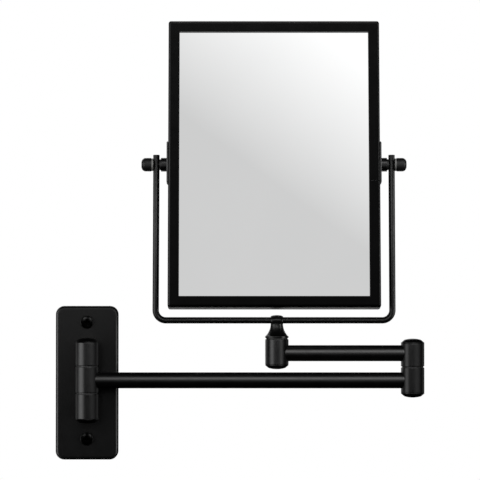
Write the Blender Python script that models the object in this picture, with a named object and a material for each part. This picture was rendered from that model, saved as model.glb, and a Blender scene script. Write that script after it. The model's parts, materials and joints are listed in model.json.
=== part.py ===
"""Extendable wall mirror: wall plate, hinged double arm, swivelling yoke and tilting two-sided mirror.

Metres, +Z up. The origin is on the wall, straight behind the wall hinge and at mid-height of the wall plate.
The wall is the XZ plane and the mirror faces -Y. Both arms are folded flat along the wall, and the short one
lies back over the long one.
"""

import math

import bmesh
import bpy

# Clearances
GAP = 0.0003  # between neighbouring pieces
SNUG = 0.0002  # between pieces clamped together

# Wall plate
PLATE_X = -0.0008  # its middle, beside the hinge
PLATE_WIDTH = 0.0471
PLATE_HEIGHT = 0.1158
PLATE_DEPTH = 0.0080
PLATE_CORNER = 0.0065
PLATE_EDGE = 0.0014
PLATE_WALL = 0.0015
RIB_HALF = 0.0025

# Wall screws
WALL_SCREW_SPACING = 0.0878
WALL_SCREW_RAISE = 0.0017
WALL_SCREW_LENGTH = 0.030
WALL_SCREW_RADIUS = 0.0020
WALL_SCREW_HOLE = 0.0025
WALL_SCREW_HEAD_RADIUS = 0.0049
WALL_SCREW_HEAD_HEIGHT = 0.0026

# Arms
AXIS_Y = -0.0200  # plane of the hinge axes, in front of the wall
LOWER_Z = 0.0022  # height of the long tube
UPPER_Z = 0.0225  # height of the short tube
LOWER_LENGTH = 0.2439  # wall hinge to elbow
UPPER_LENGTH = 0.1017  # elbow to swivel
TUBE_RADIUS = 0.0060
TUBE_WALL = 0.0010
TUBE_START = 0.0059  # a tube's end, from the axis of the knuckle that holds it

# Knuckles
BARREL_RADIUS = 0.00875
BARREL_CHAMFER = 0.0003
SPLIT = 0.0008  # space between two barrels, which a bearing washer fills
WASHER_THICK = 0.0004
WASHER_RADIUS = 0.0080
HUB_TOP = 0.0124
HUB_BOTTOM = -0.0071
WALL_BARREL_TOP = 0.0306
WALL_BARREL_BOTTOM = -0.0267
LOWER_KNUCKLE_TOP = 0.0118
LOWER_KNUCKLE_BOTTOM = -0.0072
UPPER_KNUCKLE_TOP = 0.0299
SWIVEL_KNUCKLE_TOP = 0.0330
SWIVEL_KNUCKLE_BOTTOM = 0.0140
CAP_HEIGHT = 0.0033
CAP_SIDE = 0.0003  # straight side of a cap, below its sloping shoulder
CAP_SHOULDER = 0.0024  # height of the shoulder's top
CAP_CROWN_RADIUS = 0.0062  # radius of the crown inside the shoulder
CAP_STUB = 0.0018
CAP_STUB_RADIUS = 0.0047

# Axle bolts, spring washers and nuts, M5
BOLT_RADIUS = 0.0025
BORE_RADIUS = 0.0028
HEAD_RADIUS = 0.00425
HEAD_HEIGHT = 0.0042
HEX_SOCKET = 0.0022
NUT_RADIUS = 0.00462
NUT_HEIGHT = 0.0040
COUNTERBORE_RADIUS = 0.0050
WALL_SEAT = 0.0060  # solid left in each wall barrel, between the hub and the counterbore
ELBOW_COUNTERBORE = 0.0090  # depth for the nut, in the lower knuckle
ELBOW_HEAD_DEPTH = 0.0070  # depth for the bolt's head, in the upper knuckle
SWIVEL_COUNTERBORE = 0.0095  # depth for the nut, in the swivel knuckle
SPRING_RADIUS = 0.0044
SPRING_THICK = 0.0012
BOLT_TIP = 0.0010  # thread that stands past its nut

# Wall bracket
BRACKET_WIDTH = 0.0120
BRACKET_FOOT_THICK = 0.0026
BRACKET_FOOT_HALF = 0.0262
BRACKET_SCREW_OFFSET = 0.0190
BRACKET_SCREW_RADIUS = 0.0020
BRACKET_SCREW_HEAD_RADIUS = 0.0038
BRACKET_SCREW_HEAD_HEIGHT = 0.0024
BRACKET_SCREW_DEPTH = 0.0050

# Swivel stem and yoke
STEM_BOTTOM = 0.0338
STEM_COLLAR_TOP = 0.0352
STEM_FLARE = 0.0089
STEM_NECK_RADIUS = 0.00465
STEM_TOP = 0.0510
SPINDLE_TOP = 0.0435
ROD_RADIUS = 0.0024
ROD_HOLE = 0.0027
YOKE_SHIFT = -0.0021  # middle of the yoke, beside the swivel
CROSSBAR_Z = 0.0471
BEND_RADIUS = 0.0076
LEG_X_BOTTOM = 0.0887
LEG_X_TOP = 0.0882
LEG_PAST_PIVOT = 0.0074

# Mirror
PIVOT_Z = 0.1638
TILT = math.radians(-7.0)  # top towards the wall
MIRROR_WIDTH = 0.1586
MIRROR_HEIGHT = 0.2172
MIRROR_DEPTH = 0.0170
RAIL = 0.00835
RAIL_WALL = 0.0012
LIP_THICK = 0.0020
RAIL_EDGE = 0.0019
FRAME_CORNER = 0.0018
FRAME_JOINT_Z = -0.0133
FRAME_JOINT_GAP = 0.0003
GLASS_THICK = 0.0028
REAR_GLASS_THICK = 0.0020
REAR_GLASS_SAG = 0.0030
SPACER_HALF_X = 0.0756
SPACER_HALF_Z = 0.1061
SPACER_WIDTH = 0.0060
SPACER_FRONT = -0.0033
SPACER_BACK = 0.0036

# Tilt pivots, by distance out from the mirror's centre
STUD_RADIUS = 0.0015
STUD_HOLE = 0.0018
STUD_HEAD_RADIUS = 0.0021
STUD_HEAD = (0.0761, 0.0779)
STUD_END = 0.0970
SIDE_PLATE = (0.0795, 0.0805)
SIDE_PLATE_HALF_Y = 0.0061
SIDE_PLATE_HALF_Z = 0.0157
SIDE_PLATE_RAISE = 0.0012
SIDE_PLATE_CHAMFER = 0.0008
BOSS_RADIUS = 0.00515
BOSS_END = 0.0848
INNER_WASHER = (0.0850, 0.0856)
INNER_WASHER_RADIUS = 0.0041
OUTER_WASHER = (0.0908, 0.0919)
OUTER_WASHER_RADIUS = 0.0047
KNOB = (0.0921, 0.0994)
KNOB_RADIUS = 0.00505
KNOB_EDGE = 0.0033
KNOB_BORE_END = 0.0973

# Fineness
SIDES = 24  # of a barrel or tube
SMALL_SIDES = 16  # of a bolt, rod or washer
CORNER_STEPS = 3
ARC_STEPS = 3
SMALLEST_CORNER = 0.0003
FLAT = math.radians(35)


# ---------------------------------------------------------------- shapes


def arc(centre_a, centre_b, radius, start, end, steps=ARC_STEPS):
    """Points of an arc from start to end, in degrees."""
    angles = [math.radians(start + (end - start) * step / steps) for step in range(steps + 1)]
    return [(centre_a + radius * math.cos(a), centre_b + radius * math.sin(a)) for a in angles]


def finished(bm, name):
    """A smooth-shaded mesh of bm, with its faces turned outward."""
    bmesh.ops.recalc_face_normals(bm, faces=bm.faces)
    mesh = bpy.data.meshes.new(name)
    bm.to_mesh(mesh)
    bm.free()
    mesh.shade_smooth()
    mesh.set_sharp_from_angle(angle=FLAT)
    return mesh


def loft(name, rings, closed=False):
    """A skin over equal rings of points. Closed, its last ring joins its first; open, it has caps."""
    bm = bmesh.new()
    rows = [[bm.verts.new(point) for point in ring] for ring in rings]
    pairs = list(zip(rows, rows[1:]))
    if closed:
        pairs.append((rows[-1], rows[0]))
    for low, high in pairs:
        for i in range(len(low)):
            j = (i + 1) % len(low)
            bm.faces.new((low[i], low[j], high[j], high[i]))
    if not closed:
        bm.faces.new(rows[0])
        bm.faces.new(rows[-1])
    return finished(bm, name)


def turned(name, profile, closed=False, sides=SIDES, along="Z"):
    """A profile of (radius, height) points turned about Z, or about X."""
    turns = [2 * math.pi * side / sides for side in range(sides)]
    if along == "Z":
        rings = [[(r * math.cos(t), r * math.sin(t), h) for t in turns] for r, h in profile]
    else:
        rings = [[(h, r * math.cos(t), r * math.sin(t)) for t in turns] for r, h in profile]
    return loft(name, rings, closed)


def sleeve_profile(inner, outer, bottom, top, chamfer=0.0):
    """The closed profile of a sleeve, with its two outer edges chamfered."""
    profile = [(inner, bottom), (outer - chamfer, bottom)]
    if chamfer:
        profile += [(outer, bottom + chamfer), (outer, top - chamfer)]
    return profile + [(outer - chamfer, top), (inner, top)]


def bar(name, radius, start, end, sides=SMALL_SIDES):
    """A straight round bar between two points."""
    axis = [b - a for a, b in zip(start, end)]
    longest = max(range(3), key=lambda i: abs(axis[i]))
    across, up = [i for i in range(3) if i != longest]
    rings = []
    for centre in (start, end):
        ring = []
        for side in range(sides):
            turn = 2 * math.pi * side / sides
            point = list(centre)
            point[across] += radius * math.cos(turn)
            point[up] += radius * math.sin(turn)
            ring.append(tuple(point))
        rings.append(ring)
    return loft(name, rings)


def block(name, low, high):
    """A plain box between two corners."""
    ring = [(low[0], low[1]), (high[0], low[1]), (high[0], high[1]), (low[0], high[1])]
    return loft(name, [[(x, y, z) for x, y in ring] for z in (low[2], high[2])])


def rounded_rectangle(half_x, half_z, radius):
    """Points (x, z) round a rectangle with rounded corners."""
    points = []
    for quarter, (side_x, side_z) in enumerate(((1, 1), (-1, 1), (-1, -1), (1, -1))):
        centre = (side_x * (half_x - radius), side_z * (half_z - radius))
        points += arc(*centre, radius, 90 * quarter, 90 * quarter + 90, CORNER_STEPS)
    return points


def slab(name, half_x, half_z, corner, section, closed=False):
    """Rounded rectangles in the XZ plane, one for each (inset, y) point of the section, skinned together."""
    rings = []
    for inset, y in section:
        radius = max(corner - inset, SMALLEST_CORNER)
        outline = rounded_rectangle(half_x - inset, half_z - inset, radius)
        rings.append([(x, y, z) for x, z in outline])
    return loft(name, rings, closed)


# ---------------------------------------------------------------- objects


def finish(name, colour, roughness, metallic):
    """A Principled material."""
    material = bpy.data.materials.new(name)
    material.use_nodes = True
    shader = material.node_tree.nodes["Principled BSDF"]
    shader.inputs["Base Color"].default_value = (*colour, 1.0)
    shader.inputs["Roughness"].default_value = roughness
    shader.inputs["Metallic"].default_value = metallic
    material.diffuse_color = (*colour, 1.0)
    return material


def place(mesh, frame=None, at=(0, 0, 0), turn=(0, 0, 0), surface=None):
    """An object of this mesh, named after it, on a frame."""
    obj = bpy.data.objects.new(mesh.name, mesh)
    bpy.context.scene.collection.objects.link(obj)
    obj.parent = frame
    obj.location = at
    obj.rotation_euler = turn
    if surface:
        mesh.materials.append(finish(mesh.name, *surface))
    return obj


def axis_frame(name, parent, at, turn=(0, 0, 0)):
    """An empty on a joint's axis, which carries the pieces beyond that joint."""
    empty = bpy.data.objects.new(name, None)
    bpy.context.scene.collection.objects.link(empty)
    empty.parent = parent
    empty.location = at
    empty.rotation_euler = turn
    return empty


def combine(obj, mesh, operation="DIFFERENCE"):
    """Cuts a helper shape from obj or joins it on, in obj's own place."""
    helper = place(mesh, obj.parent, obj.location, obj.rotation_euler)
    helper.hide_render = True
    helper.display_type = "WIRE"
    modifier = obj.modifiers.new(mesh.name, "BOOLEAN")
    modifier.operation = operation
    modifier.object = helper


BLACK_PAINT = ((0.012, 0.012, 0.013), 0.42, 0.0)
BLACK_PLASTIC = ((0.010, 0.010, 0.010), 0.50, 0.0)
STEEL = ((0.55, 0.55, 0.56), 0.35, 1.0)
BLACK_STEEL = ((0.03, 0.03, 0.03), 0.38, 1.0)
NYLON = ((0.30, 0.30, 0.30), 0.55, 0.0)
SILVERED_GLASS = ((0.90, 0.91, 0.92), 0.02, 1.0)
FOAM = ((0.05, 0.05, 0.05), 0.90, 0.0)


# ---------------------------------------------------------------- hardware


def hex_prism(name, radius, bottom, top):
    return turned(name, [(radius, bottom), (radius, top)], sides=6)


def axle_bolt(name, frame, head_bottom, tip):
    """A cylinder-head bolt, head up, with a hexagon socket."""
    head_top = head_bottom + HEAD_HEIGHT
    profile = [(BOLT_RADIUS, tip), (BOLT_RADIUS, head_bottom)]
    profile += [(HEAD_RADIUS, head_bottom), (HEAD_RADIUS, head_top)]
    bolt = place(turned(name, profile, sides=SMALL_SIDES), frame, surface=STEEL)
    socket_bottom = head_top - HEAD_HEIGHT / 2
    combine(bolt, hex_prism(name + "_socket", HEX_SOCKET, socket_bottom, head_top + GAP))


def axle_nut(name, frame, bottom):
    nut = place(hex_prism(name, NUT_RADIUS, bottom, bottom + NUT_HEIGHT), frame, surface=STEEL)
    low = (0, 0, bottom - GAP)
    high = (0, 0, bottom + NUT_HEIGHT + GAP)
    combine(nut, bar(name + "_bore", BORE_RADIUS, low, high))


def spring_washer(name, frame, bottom):
    """A split ring under the nut, which keeps the hinge's friction."""
    top = bottom + SPRING_THICK
    profile = sleeve_profile(BORE_RADIUS, SPRING_RADIUS, bottom, top)
    washer = place(turned(name, profile, closed=True, sides=SMALL_SIDES), frame, surface=STEEL)
    split = block(name + "_split", (0, -GAP, bottom - GAP), (SPRING_RADIUS + GAP, GAP, top + GAP))
    combine(washer, split)


def bearing_washer(name, frame, split_bottom):
    bottom = split_bottom + (SPLIT - WASHER_THICK) / 2
    profile = sleeve_profile(BORE_RADIUS, WASHER_RADIUS, bottom, bottom + WASHER_THICK)
    place(turned(name, profile, closed=True), frame, surface=BLACK_PLASTIC)


def end_cap(name, frame, seat, up):
    """A plug over a knuckle's end, with a sloping shoulder and a crown. up is 1 on top and -1 below."""
    profile = [(CAP_STUB_RADIUS, -CAP_STUB), (CAP_STUB_RADIUS, 0), (BARREL_RADIUS, 0)]
    profile.append((BARREL_RADIUS, CAP_SIDE))
    for share in (1.0, 0.7, 0.4, 0.1):
        drop = (CAP_HEIGHT - CAP_SHOULDER) * share**2
        profile.append((CAP_CROWN_RADIUS * share, CAP_HEIGHT - drop))
    profile = [(radius, seat + up * height) for radius, height in profile]
    place(turned(name, profile), frame, surface=BLACK_PAINT)


# ---------------------------------------------------------------- wall plate and bracket


def wall_plate():
    """A shallow shell, open at the back, with a rib across its middle that rests on the wall."""
    half_x = PLATE_WIDTH / 2
    half_z = PLATE_HEIGHT / 2
    front = arc(PLATE_EDGE, PLATE_EDGE - PLATE_DEPTH, PLATE_EDGE, 180, 270)
    shell = slab("wall_plate", half_x, half_z, PLATE_CORNER, [(0, 0), *front])
    plate = place(shell, at=(PLATE_X, 0, 0), surface=BLACK_PAINT)
    pocket_half_x = half_x - PLATE_WALL
    pocket_half_z = (half_z - PLATE_WALL - RIB_HALF) / 2
    for side, up in (("upper", 1), ("lower", -1)):
        section = [(0, GAP), (0, PLATE_WALL - PLATE_DEPTH)]
        pocket = slab(side + "_pocket", pocket_half_x, pocket_half_z, PLATE_CORNER - PLATE_WALL, section)
        for vertex in pocket.vertices:
            vertex.co.z += up * (RIB_HALF + pocket_half_z)
        combine(plate, pocket)
        for kind, x, height, radius in (
            ("wall_screw", 0, wall_screw_height(up), WALL_SCREW_HOLE),
            ("bracket_screw", -PLATE_X, LOWER_Z + up * BRACKET_SCREW_OFFSET, BRACKET_SCREW_RADIUS + GAP),
        ):
            ends = (x, -PLATE_DEPTH - GAP, height), (x, -PLATE_DEPTH / 2, height)
            combine(plate, bar(f"{side}_{kind}_hole", radius, *ends))


def wall_screw_height(up):
    return WALL_SCREW_RAISE + up * WALL_SCREW_SPACING / 2


def wall_bracket():
    """The two outer barrels of the wall hinge, on lugs from one foot."""
    back = -PLATE_DEPTH - SNUG
    half_x = BRACKET_WIDTH / 2
    foot_low = (-half_x, back - BRACKET_FOOT_THICK, LOWER_Z - BRACKET_FOOT_HALF)
    foot_high = (half_x, back, LOWER_Z + BRACKET_FOOT_HALF)
    bracket = place(block("wall_bracket", foot_low, foot_high), surface=BLACK_PAINT)
    lug_half_x = half_x - 2 * GAP
    for side, up, near, far in (
        ("upper", 1, HUB_TOP + SPLIT, WALL_BARREL_TOP),
        ("lower", -1, HUB_BOTTOM - SPLIT, WALL_BARREL_BOTTOM),
    ):
        bottom, top = sorted((near, far))
        lug_low = (-lug_half_x, AXIS_Y, bottom + GAP)
        lug_high = (lug_half_x, back - GAP, top - GAP)
        combine(bracket, block(side + "_lug", lug_low, lug_high), "UNION")
        outer = [(BARREL_RADIUS - BARREL_CHAMFER, bottom), (BARREL_RADIUS, bottom + BARREL_CHAMFER)]
        outer += [(BARREL_RADIUS, top - BARREL_CHAMFER), (BARREL_RADIUS - BARREL_CHAMFER, top)]
        barrel = turned(side + "_barrel", outer)
        for vertex in barrel.vertices:
            vertex.co.y += AXIS_Y
        combine(bracket, barrel, "UNION")
        ends = (0, AXIS_Y, near + up * WALL_SEAT), (0, AXIS_Y, far + up * GAP)
        combine(bracket, bar(side + "_counterbore", COUNTERBORE_RADIUS, *ends, SIDES))
        height = LOWER_Z + up * BRACKET_SCREW_OFFSET
        ends = (0, back + GAP, height), (0, back - BRACKET_SCREW_DEPTH - GAP, height)
        combine(bracket, bar(side + "_screw_hole", BRACKET_SCREW_RADIUS + GAP, *ends))
    ends = (0, AXIS_Y, WALL_BARREL_BOTTOM - GAP), (0, AXIS_Y, WALL_BARREL_TOP + GAP)
    combine(bracket, bar("wall_bore", BORE_RADIUS, *ends))


def bracket_screws():
    """Pan-head screws from inside the plate into the bracket's lugs."""
    head_top = -PLATE_DEPTH + PLATE_WALL + SNUG
    tip = -PLATE_DEPTH - SNUG - BRACKET_SCREW_DEPTH
    for side, up in (("upper", 1), ("lower", -1)):
        profile = [
            (BRACKET_SCREW_RADIUS, tip),
            (BRACKET_SCREW_RADIUS, head_top),
            (BRACKET_SCREW_HEAD_RADIUS, head_top),
            (BRACKET_SCREW_HEAD_RADIUS, head_top + BRACKET_SCREW_HEAD_HEIGHT / 2),
            (BRACKET_SCREW_HEAD_RADIUS / 2, head_top + BRACKET_SCREW_HEAD_HEIGHT),
        ]
        mesh = turned("bracket_screw_" + side, profile, sides=SMALL_SIDES)
        height = LOWER_Z + up * BRACKET_SCREW_OFFSET
        place(mesh, at=(0, 0, height), turn=(math.radians(-90), 0, 0), surface=STEEL)


def wall_screws():
    """Cross-head screws through the plate, which go on into the wall."""
    recess_half = WALL_SCREW_HEAD_RADIUS / 2
    slot_half = 2 * GAP
    seat = PLATE_DEPTH + SNUG
    top = seat + WALL_SCREW_HEAD_HEIGHT
    for side, up in (("top", 1), ("bottom", -1)):
        crown = [
            (WALL_SCREW_HEAD_RADIUS * math.cos(angle), WALL_SCREW_HEAD_HEIGHT * math.sin(angle))
            for angle in map(math.radians, range(0, 90, 20))
        ]
        profile = [
            (GAP, seat - WALL_SCREW_LENGTH),
            (WALL_SCREW_RADIUS, seat - WALL_SCREW_LENGTH + 2 * WALL_SCREW_RADIUS),
            (WALL_SCREW_RADIUS, seat),
            *[(radius, seat + height) for radius, height in crown],
        ]
        name = "wall_screw_" + side
        mesh = turned(name, profile, sides=SMALL_SIDES)
        at = (PLATE_X, 0, wall_screw_height(up))
        screw = place(mesh, at=at, turn=(math.radians(90), 0, 0), surface=BLACK_STEEL)
        low = seat + WALL_SCREW_HEAD_HEIGHT / 3
        for cut, x, y in (("_slot", recess_half, slot_half), ("_cross", slot_half, recess_half)):
            combine(screw, block(name + cut, (-x, -y, low), (x, y, top + GAP)))


def wall_hinge(frame):
    """The bolt, washers and caps of the wall hinge."""
    head = HUB_TOP + SPLIT + WALL_SEAT + SNUG
    spring = HUB_BOTTOM - SPLIT - WALL_SEAT - SNUG - SPRING_THICK
    nut = spring - SNUG - NUT_HEIGHT
    axle_bolt("wall_axle", frame, head, nut - BOLT_TIP)
    spring_washer("wall_spring_washer", frame, spring)
    axle_nut("wall_axle_nut", frame, nut)
    bearing_washer("wall_washer_upper", frame, HUB_TOP)
    bearing_washer("wall_washer_lower", frame, HUB_BOTTOM - SPLIT)
    end_cap("wall_cap_top", frame, WALL_BARREL_TOP + SNUG, 1)
    end_cap("wall_cap_bottom", frame, WALL_BARREL_BOTTOM - SNUG, -1)


# ---------------------------------------------------------------- arms


def knuckle(name, frame, profile, tube_z, side):
    """A turned knuckle with a blind socket for its tube. side is 1 for a tube on +X and -1 on -X."""
    body = place(turned(name, profile, closed=True), frame, surface=BLACK_PAINT)
    ends = (side * (TUBE_START - GAP), 0, tube_z), (side * 2 * BARREL_RADIUS, 0, tube_z)
    combine(body, bar(name + "_socket", TUBE_RADIUS + GAP, *ends, SIDES))


def bored_profile(bottom, top, step, counterbore):
    """A knuckle's closed profile: a bore, widened to a counterbore at its top or its bottom."""
    outer = sleeve_profile(BORE_RADIUS, BARREL_RADIUS, bottom, top, BARREL_CHAMFER)
    if counterbore == "bottom":
        return [(COUNTERBORE_RADIUS, bottom), *outer[1:], (BORE_RADIUS, step), (COUNTERBORE_RADIUS, step)]
    return [*outer[:-1], (COUNTERBORE_RADIUS, top), (COUNTERBORE_RADIUS, step), (BORE_RADIUS, step)]


def arm_tube(name, frame, start, end, height):
    """A tube open at both ends, from x start to x end."""
    profile = sleeve_profile(TUBE_RADIUS - TUBE_WALL, TUBE_RADIUS, start, end)
    place(turned(name, profile, closed=True, along="X"), frame, at=(0, 0, height), surface=BLACK_PAINT)


def lower_arm(frame, elbow):
    hub = sleeve_profile(BORE_RADIUS, BARREL_RADIUS, HUB_BOTTOM, HUB_TOP, BARREL_CHAMFER)
    knuckle("wall_hub", frame, hub, LOWER_Z, 1)
    arm_tube("lower_tube", frame, TUBE_START, LOWER_LENGTH - TUBE_START, LOWER_Z)
    step = LOWER_KNUCKLE_BOTTOM + ELBOW_COUNTERBORE
    profile = bored_profile(LOWER_KNUCKLE_BOTTOM, LOWER_KNUCKLE_TOP, step, "bottom")
    knuckle("elbow_lower_knuckle", elbow, profile, LOWER_Z, -1)
    end_cap("elbow_cap_bottom", elbow, LOWER_KNUCKLE_BOTTOM - SNUG, -1)
    bearing_washer("elbow_washer", elbow, LOWER_KNUCKLE_TOP)


def upper_arm(elbow, swivel):
    bottom = LOWER_KNUCKLE_TOP + SPLIT
    step = UPPER_KNUCKLE_TOP - ELBOW_HEAD_DEPTH
    profile = bored_profile(bottom, UPPER_KNUCKLE_TOP, step, "top")
    knuckle("elbow_upper_knuckle", elbow, profile, UPPER_Z, -1)
    spring = LOWER_KNUCKLE_BOTTOM + ELBOW_COUNTERBORE - SNUG - SPRING_THICK
    nut = spring - SNUG - NUT_HEIGHT
    axle_bolt("elbow_axle", elbow, step + SNUG, nut - BOLT_TIP)
    spring_washer("elbow_spring_washer", elbow, spring)
    axle_nut("elbow_nut", elbow, nut)
    end_cap("elbow_cap_top", elbow, UPPER_KNUCKLE_TOP + SNUG, 1)
    arm_tube("upper_tube", elbow, TUBE_START - UPPER_LENGTH, -TUBE_START, UPPER_Z)
    step = SWIVEL_KNUCKLE_BOTTOM + SWIVEL_COUNTERBORE
    profile = bored_profile(SWIVEL_KNUCKLE_BOTTOM, SWIVEL_KNUCKLE_TOP, step, "bottom")
    knuckle("swivel_knuckle", swivel, profile, UPPER_Z, 1)
    end_cap("swivel_cap", swivel, SWIVEL_KNUCKLE_BOTTOM - SNUG, -1)


# ---------------------------------------------------------------- yoke


def swivel_stem(frame):
    """The foot of the yoke: a collar, and a flare that narrows as a parabola to a neck for the rod."""
    flare_radius = BARREL_RADIUS - BARREL_CHAMFER
    profile = [(flare_radius, STEM_BOTTOM), (BARREL_RADIUS, STEM_BOTTOM + BARREL_CHAMFER)]
    profile.append((BARREL_RADIUS, STEM_COLLAR_TOP - BARREL_CHAMFER))
    for step in range(2 * ARC_STEPS + 1):
        rise = step / (2 * ARC_STEPS)
        radius = STEM_NECK_RADIUS + (flare_radius - STEM_NECK_RADIUS) * (1 - rise) ** 2
        profile.append((radius, STEM_COLLAR_TOP + STEM_FLARE * rise))
    dome = STEM_NECK_RADIUS / 3
    profile += [(STEM_NECK_RADIUS, STEM_TOP - dome), (2 * dome, STEM_TOP - GAP), (dome, STEM_TOP)]
    stem = place(turned("swivel_stem", profile), frame, surface=BLACK_PAINT)
    ends = (0, 0, STEM_BOTTOM - GAP), (0, 0, SPINDLE_TOP + GAP)
    combine(stem, bar("spindle_hole", BORE_RADIUS, *ends))
    ends = (-BARREL_RADIUS, 0, CROSSBAR_Z), (BARREL_RADIUS, 0, CROSSBAR_Z)
    combine(stem, bar("crossbar_hole", ROD_HOLE, *ends))


def swivel_hardware(frame):
    """The spindle screwed up into the stem, and what holds it in the swivel knuckle."""
    spring = SWIVEL_KNUCKLE_BOTTOM + SWIVEL_COUNTERBORE - SNUG - SPRING_THICK
    nut = spring - SNUG - NUT_HEIGHT
    ends = (0, 0, nut - BOLT_TIP), (0, 0, SPINDLE_TOP)
    place(bar("swivel_spindle", BOLT_RADIUS, *ends), frame, surface=STEEL)
    spring_washer("swivel_spring_washer", frame, spring)
    axle_nut("swivel_nut", frame, nut)
    bearing_washer("swivel_washer", frame, SWIVEL_KNUCKLE_TOP)


def rod_centreline():
    """Points (x, z) down the left leg, along the crossbar and up the right leg."""
    bend = arc(BEND_RADIUS - LEG_X_BOTTOM, CROSSBAR_Z + BEND_RADIUS, BEND_RADIUS, 180, 270, 2 * ARC_STEPS)
    left = [(-LEG_X_TOP, PIVOT_Z + LEG_PAST_PIVOT), *bend]
    line = left + [(-x, z) for x, z in reversed(left)]
    return [(x + YOKE_SHIFT, z) for x, z in line]


def yoke_rod(frame):
    """One round rod bent to a U, drilled across both ends for the tilt pivots."""
    line = rod_centreline()
    rings = []
    for i, (x, z) in enumerate(line):
        before = line[max(i - 1, 0)]
        after = line[min(i + 1, len(line) - 1)]
        heading = math.atan2(after[1] - before[1], after[0] - before[0])
        ring = []
        for side in range(SMALL_SIDES):
            turn = 2 * math.pi * side / SMALL_SIDES
            out = ROD_RADIUS * math.cos(turn)
            across = ROD_RADIUS * math.sin(turn)
            ring.append((x - out * math.sin(heading), across, z + out * math.cos(heading)))
        rings.append(ring)
    rod = place(loft("yoke_rod", rings), frame, surface=BLACK_PAINT)
    ends = (YOKE_SHIFT - KNOB[0], 0, PIVOT_Z), (YOKE_SHIFT + KNOB[0], 0, PIVOT_Z)
    combine(rod, bar("pivot_holes", STUD_HOLE, *ends))


# ---------------------------------------------------------------- mirror


def mirror_frame(frame):
    """One channel bent round the glass, open inward, its ends meeting in the right rail."""
    half_x = MIRROR_WIDTH / 2
    half_z = MIRROR_HEIGHT / 2
    front = MIRROR_DEPTH / 2
    lip = front - LIP_THICK
    break_edge = SNUG
    centre = front - RAIL_EDGE
    section = [
        (RAIL, -lip),
        (RAIL, break_edge - front),
        (RAIL - break_edge, -front),
        *reversed(arc(RAIL_EDGE, -centre, RAIL_EDGE, 180, 270)),
        *reversed(arc(RAIL_EDGE, centre, RAIL_EDGE, 90, 180)),
        (RAIL - break_edge, front),
        (RAIL, front - break_edge),
        (RAIL, lip),
        (RAIL_WALL, lip),
        (RAIL_WALL, -lip),
    ]
    channel = slab("mirror_frame", half_x, half_z, FRAME_CORNER, section, closed=True)
    body = place(channel, frame, surface=BLACK_PAINT)
    for name, out in (("left_hole", -1), ("right_hole", 1)):
        ends = (out * STUD_HEAD[0], 0, 0), (out * SIDE_PLATE[1], 0, 0)
        combine(body, bar(name, STUD_HOLE, *ends))
    joint_low = (half_x - 2 * RAIL, -MIRROR_DEPTH, FRAME_JOINT_Z - FRAME_JOINT_GAP / 2)
    joint_high = (half_x + RAIL, MIRROR_DEPTH, FRAME_JOINT_Z + FRAME_JOINT_GAP / 2)
    combine(body, block("frame_joint", joint_low, joint_high))


def front_glass(frame):
    face = LIP_THICK + SNUG - MIRROR_DEPTH / 2
    section = [(0, face), (0, face + GLASS_THICK)]
    place(glass_slab("front_glass", section), frame, surface=SILVERED_GLASS)


def glass_slab(name, section):
    inset = RAIL_WALL + GAP
    return slab(name, MIRROR_WIDTH / 2 - inset, MIRROR_HEIGHT / 2 - inset, SMALLEST_CORNER, section)


def rear_glass(frame):
    """The magnifying glass: a flat rim, slumped towards the middle of the frame."""
    columns, rows = 8, 10
    half_x = MIRROR_WIDTH / 2 - RAIL_WALL - GAP
    half_z = MIRROR_HEIGHT / 2 - RAIL_WALL - GAP
    rim = MIRROR_DEPTH / 2 - LIP_THICK - SNUG
    bm = bmesh.new()
    faces = []
    for depth in (rim, rim - REAR_GLASS_THICK):
        grid = []
        for row in range(rows + 1):
            v = 2 * row / rows - 1
            grid.append([])
            for column in range(columns + 1):
                u = 2 * column / columns - 1
                sag = REAR_GLASS_SAG * (1 - u * u) * (1 - v * v)
                grid[-1].append(bm.verts.new((u * half_x, depth - sag, v * half_z)))
        faces.append(grid)
    outer, inner = faces
    for grid in (outer, inner):
        for row in range(rows):
            for column in range(columns):
                lower = (grid[row][column], grid[row][column + 1])
                upper = (grid[row + 1][column + 1], grid[row + 1][column])
                bm.faces.new((*lower, *upper))
    for near, far in zip(rim_of(outer), rim_of(inner)):
        bm.faces.new((near[0], near[1], far[1], far[0]))
    place(finished(bm, "rear_glass"), frame, surface=SILVERED_GLASS)


def rim_of(grid):
    """The grid's outer edges in order, as pairs of vertices."""
    loop = list(grid[0])
    loop += [row[-1] for row in grid[1:]]
    loop += list(reversed(grid[-1][:-1]))
    loop += [row[0] for row in reversed(grid[1:-1])]
    return [(loop[i], loop[(i + 1) % len(loop)]) for i in range(len(loop))]


def glass_spacer(frame):
    """A foam ring that presses both glasses against the frame's lips."""
    section = [
        (0, SPACER_FRONT),
        (SPACER_WIDTH, SPACER_FRONT),
        (SPACER_WIDTH, SPACER_BACK),
        (0, SPACER_BACK),
    ]
    ring = slab("glass_spacer", SPACER_HALF_X, SPACER_HALF_Z, SMALLEST_CORNER, section, closed=True)
    place(ring, frame, surface=FOAM)


def pivot_bracket(name, frame, turn):
    """A plate on the frame's side with a round boss, bored for the stud."""
    low, high = SIDE_PLATE
    rings = []
    for x, inset in ((low, 0), (low + SNUG, 0), (high, SIDE_PLATE_CHAMFER)):
        half_z = SIDE_PLATE_HALF_Z - inset
        outline = rounded_rectangle(SIDE_PLATE_HALF_Y - inset / 2, half_z, SMALLEST_CORNER)
        rings.append([(x, y, z + SIDE_PLATE_RAISE) for y, z in outline])
    bracket = place(loft(name, rings), frame, turn=turn, surface=BLACK_PAINT)
    boss = bar(name + "_boss", BOSS_RADIUS, (low + GAP, 0, 0), (BOSS_END, 0, 0), SIDES)
    combine(bracket, boss, "UNION")
    bore = bar(name + "_bore", STUD_HOLE, (low - GAP, 0, 0), (BOSS_END + GAP, 0, 0))
    combine(bracket, bore)


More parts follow.
